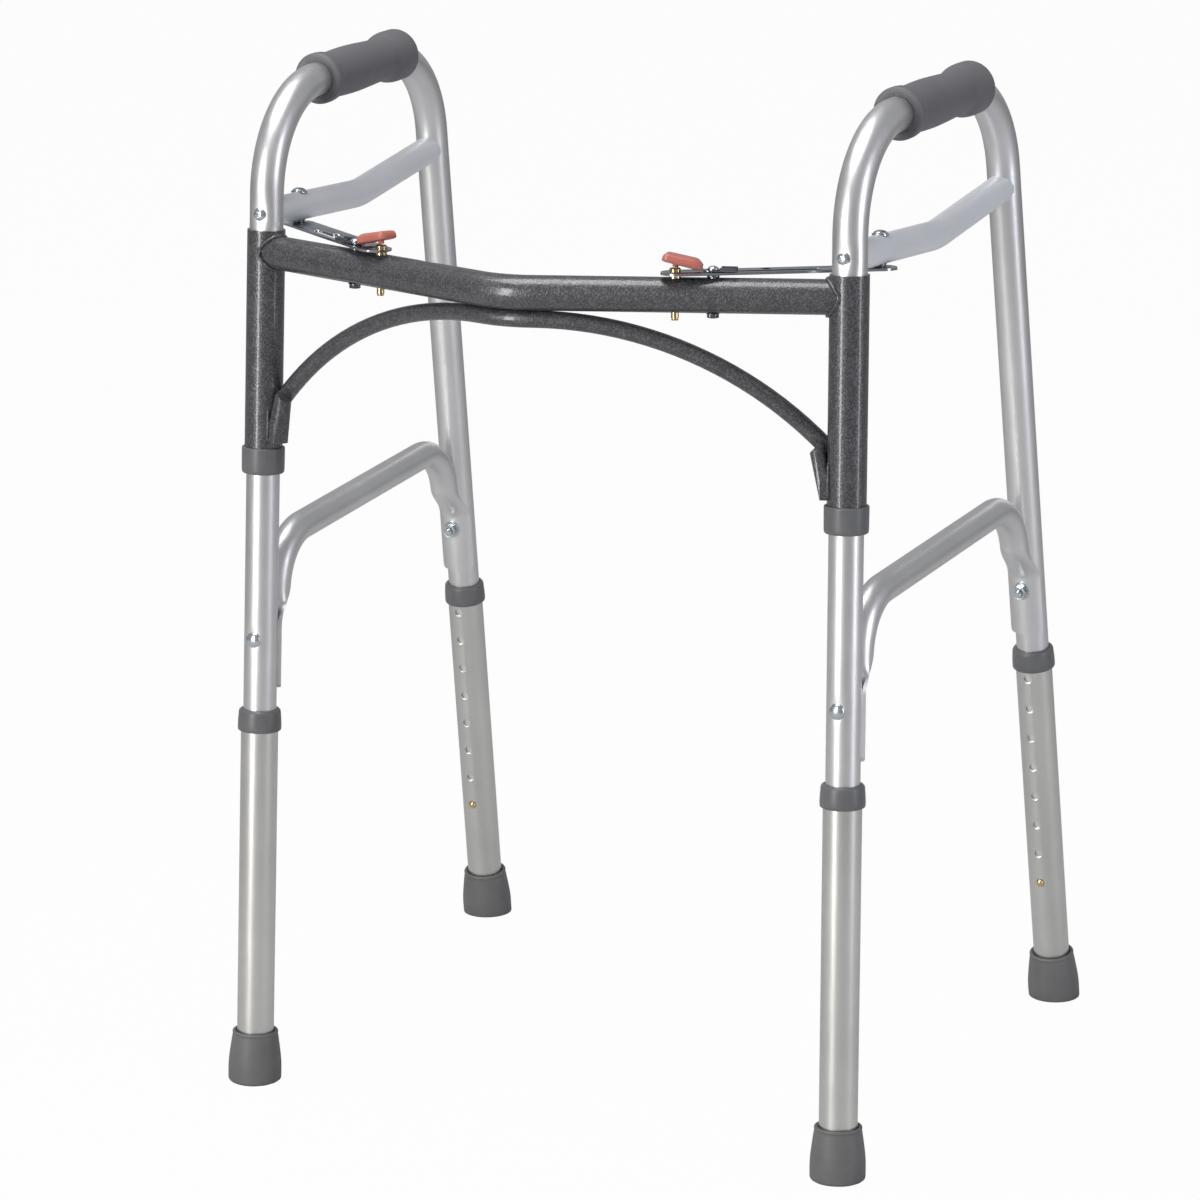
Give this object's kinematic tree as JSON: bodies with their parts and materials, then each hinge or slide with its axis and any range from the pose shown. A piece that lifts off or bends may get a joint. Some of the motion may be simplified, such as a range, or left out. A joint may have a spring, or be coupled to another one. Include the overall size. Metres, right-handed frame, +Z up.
{
  "type": "folding walking frame",
  "caption": "Folding walking frame: two looped side frames with hand grips and telescopic legs, joined by a bowed crossbar with an arch brace, sliding links and spring latches.",
  "frame": {"origin": "on the floor, midway between the two sides and midway between the front and the rear of the frame", "axes": "+Z up, +Y towards the user (rear), +X towards the right when seen from the front"},
  "size_m": [0.5602, 0.4838, 0.7853],
  "materials": {
    "hammertone_steel": "dark grey hammered paint",
    "satin_aluminium": "satin anodised",
    "blue_aluminium": "pale blue satin",
    "extension_aluminium": "plain satin anodised",
    "collar_plastic": "smooth moulded",
    "grip_vinyl": "soft matte vinyl",
    "foot_rubber": "matte moulded rubber",
    "zinc_steel": "bright zinc plate",
    "brass": "plain turned brass",
    "coral_plastic": "glossy moulded",
    "black_plastic": "dull black"
  },
  "bodies": {
    "front_frame": {"crossbar": "hammertone_steel", "arch_brace": "hammertone_steel", "weld_beads": "hammertone_steel", "latch_bolts": "zinc_steel", "latch_nuts": "zinc_steel", "left_hinge_sleeve": "hammertone_steel", "left_latch_spring_leaf": "zinc_steel", "left_pin_spring": "zinc_steel", "right_hinge_sleeve": "hammertone_steel", "right_latch_spring_leaf": "zinc_steel", "right_pin_spring": "zinc_steel"},
    "left_side": {"left_side_tube": "satin_aluminium", "left_hand_grip": "grip_vinyl", "left_upper_arm": "blue_aluminium", "left_lower_brace": "satin_aluminium", "left_sleeve_collar": "collar_plastic", "left_collar_rivet": "black_plastic", "left_arm_screws": "zinc_steel", "left_arm_inserts": "black_plastic", "left_link_rivet": "zinc_steel", "left_brace_bolts": "zinc_steel", "left_brace_nuts": "zinc_steel", "left_snap_springs": "zinc_steel"},
    "left_guide": {"left_guide_bush": "brass"},
    "left_link": {"left_link_plate": "zinc_steel"},
    "left_paddle": {"left_release_paddle": "coral_plastic"},
    "left_pin": {"left_lock_pin": "brass"},
    "left_front_extension": {"left_front_leg_extension": "extension_aluminium", "left_front_extension_collar": "collar_plastic", "left_front_rubber_foot": "foot_rubber"},
    "left_front_button": {"left_front_snap_button": "brass"},
    "left_rear_extension": {"left_rear_leg_extension": "extension_aluminium", "left_rear_extension_collar": "collar_plastic", "left_rear_rubber_foot": "foot_rubber"},
    "left_rear_button": {"left_rear_snap_button": "brass"},
    "right_side": {"right_side_tube": "satin_aluminium", "right_hand_grip": "grip_vinyl", "right_upper_arm": "blue_aluminium", "right_lower_brace": "satin_aluminium", "right_sleeve_collar": "collar_plastic", "right_collar_rivet": "black_plastic", "right_arm_screws": "zinc_steel", "right_arm_inserts": "black_plastic", "right_link_rivet": "zinc_steel", "right_brace_bolts": "zinc_steel", "right_brace_nuts": "zinc_steel", "right_snap_springs": "zinc_steel"},
    "right_guide": {"right_guide_bush": "brass"},
    "right_link": {"right_link_plate": "zinc_steel"},
    "right_paddle": {"right_release_paddle": "coral_plastic"},
    "right_pin": {"right_lock_pin": "brass"},
    "right_front_extension": {"right_front_leg_extension": "extension_aluminium", "right_front_extension_collar": "collar_plastic", "right_front_rubber_foot": "foot_rubber"},
    "right_front_button": {"right_front_snap_button": "brass"},
    "right_rear_extension": {"right_rear_leg_extension": "extension_aluminium", "right_rear_extension_collar": "collar_plastic", "right_rear_rubber_foot": "foot_rubber"},
    "right_rear_button": {"right_rear_snap_button": "brass"}
  },
  "joints": [
    {"name": "left_fold", "type": "hinge", "parent": "front_frame", "child": "left_side", "pos_m": [-0.23802, -0.16393, 0.55859], "axis": [-0.015, -0.0692, -0.9975], "range_deg": [0, 94], "deforming": ["left_lock_pin"]},
    {"name": "left_link_turn", "type": "hinge", "parent": "front_frame", "child": "left_guide", "pos_m": [-0.14417, -0.18592, 0.66297], "axis": [0.015, 0.0692, 0.9975], "range_deg": [0, 10.28]},
    {"name": "left_link_slide", "type": "slide", "parent": "left_guide", "child": "left_link", "axis": [0.7815, -0.6231, 0.0315], "range_m": [0, 0.0757]},
    {"name": "left_paddle_press", "type": "hinge", "parent": "front_frame", "child": "left_paddle", "pos_m": [-0.13698, -0.18799, 0.66572], "axis": [0.3013, 0.9509, -0.0705], "range_deg": [0, 13], "stiffness_Nm_per_rad": 1.2},
    {"name": "left_pin_press", "type": "slide", "parent": "front_frame", "child": "left_pin", "axis": [-0.015, -0.0692, -0.9975], "range_m": [0, 0.0046], "deforming": ["left_pin_spring"]},
    {"name": "left_front_extend", "type": "slide", "parent": "left_side", "child": "left_front_extension", "axis": [-0.015, -0.0692, -0.9975], "range_m": [0, 0.1778], "deforming": ["left_front_snap_button"]},
    {"name": "left_front_button_press", "type": "slide", "parent": "left_side", "child": "left_front_button", "axis": [0.0319, -0.9971, 0.0687], "range_m": [0, 0.004], "stiffness_N_per_m": 800, "springref_m": -0.002, "deforming": ["left_snap_springs"]},
    {"name": "left_rear_extend", "type": "slide", "parent": "left_side", "child": "left_rear_extension", "axis": [-0.0212, 0.1375, -0.9903], "range_m": [0, 0.1778], "deforming": ["left_rear_snap_button"]},
    {"name": "left_rear_button_press", "type": "slide", "parent": "left_side", "child": "left_rear_button", "axis": [-0.0282, 0.99, 0.1381], "range_m": [0, 0.004], "stiffness_N_per_m": 800, "springref_m": -0.002},
    {"name": "right_fold", "type": "hinge", "parent": "front_frame", "child": "right_side", "pos_m": [0.23802, -0.16393, 0.55859], "axis": [-0.015, 0.0692, 0.9975], "range_deg": [0, 80], "deforming": ["right_lock_pin"]},
    {"name": "right_link_turn", "type": "hinge", "parent": "front_frame", "child": "right_guide", "pos_m": [0.14417, -0.18592, 0.66297], "axis": [0.015, -0.0692, -0.9975], "range_deg": [-0.5, 0]},
    {"name": "right_link_slide", "type": "slide", "parent": "right_guide", "child": "right_link", "axis": [-0.7815, -0.6231, 0.0315], "range_m": [0, 0.0669]},
    {"name": "right_paddle_press", "type": "hinge", "parent": "front_frame", "child": "right_paddle", "pos_m": [0.13698, -0.18799, 0.66572], "axis": [0.3013, -0.9509, 0.0705], "range_deg": [0, 13], "stiffness_Nm_per_rad": 1.2},
    {"name": "right_pin_press", "type": "slide", "parent": "front_frame", "child": "right_pin", "axis": [0.015, -0.0692, -0.9975], "range_m": [0, 0.0046], "deforming": ["right_pin_spring"]},
    {"name": "right_front_extend", "type": "slide", "parent": "right_side", "child": "right_front_extension", "axis": [0.015, -0.0692, -0.9975], "range_m": [0, 0.1778], "deforming": ["right_front_snap_button"]},
    {"name": "right_front_button_press", "type": "slide", "parent": "right_side", "child": "right_front_button", "axis": [-0.0319, -0.9971, 0.0687], "range_m": [0, 0.004], "stiffness_N_per_m": 800, "springref_m": -0.002, "deforming": ["right_snap_springs"]},
    {"name": "right_rear_extend", "type": "slide", "parent": "right_side", "child": "right_rear_extension", "axis": [0.0212, 0.1375, -0.9903], "range_m": [0, 0.1778], "deforming": ["right_rear_snap_button"]},
    {"name": "right_rear_button_press", "type": "slide", "parent": "right_side", "child": "right_rear_button", "axis": [0.0282, 0.99, 0.1381], "range_m": [0, 0.004], "stiffness_N_per_m": 800, "springref_m": -0.002}
  ],
  "couplings": [
    {"joint": "left_link_turn", "follows": "left_fold", "ratio": 0.10927},
    {"joint": "left_link_slide", "follows": "left_fold", "m_per_rad": 0.046105},
    {"joint": "left_pin_press", "follows": "left_paddle_press", "m_per_rad": 0.020274},
    {"joint": "right_link_turn", "follows": "right_fold", "ratio": -0.006208},
    {"joint": "right_link_slide", "follows": "right_fold", "m_per_rad": 0.047845},
    {"joint": "right_pin_press", "follows": "right_paddle_press", "m_per_rad": 0.020274}
  ]
}
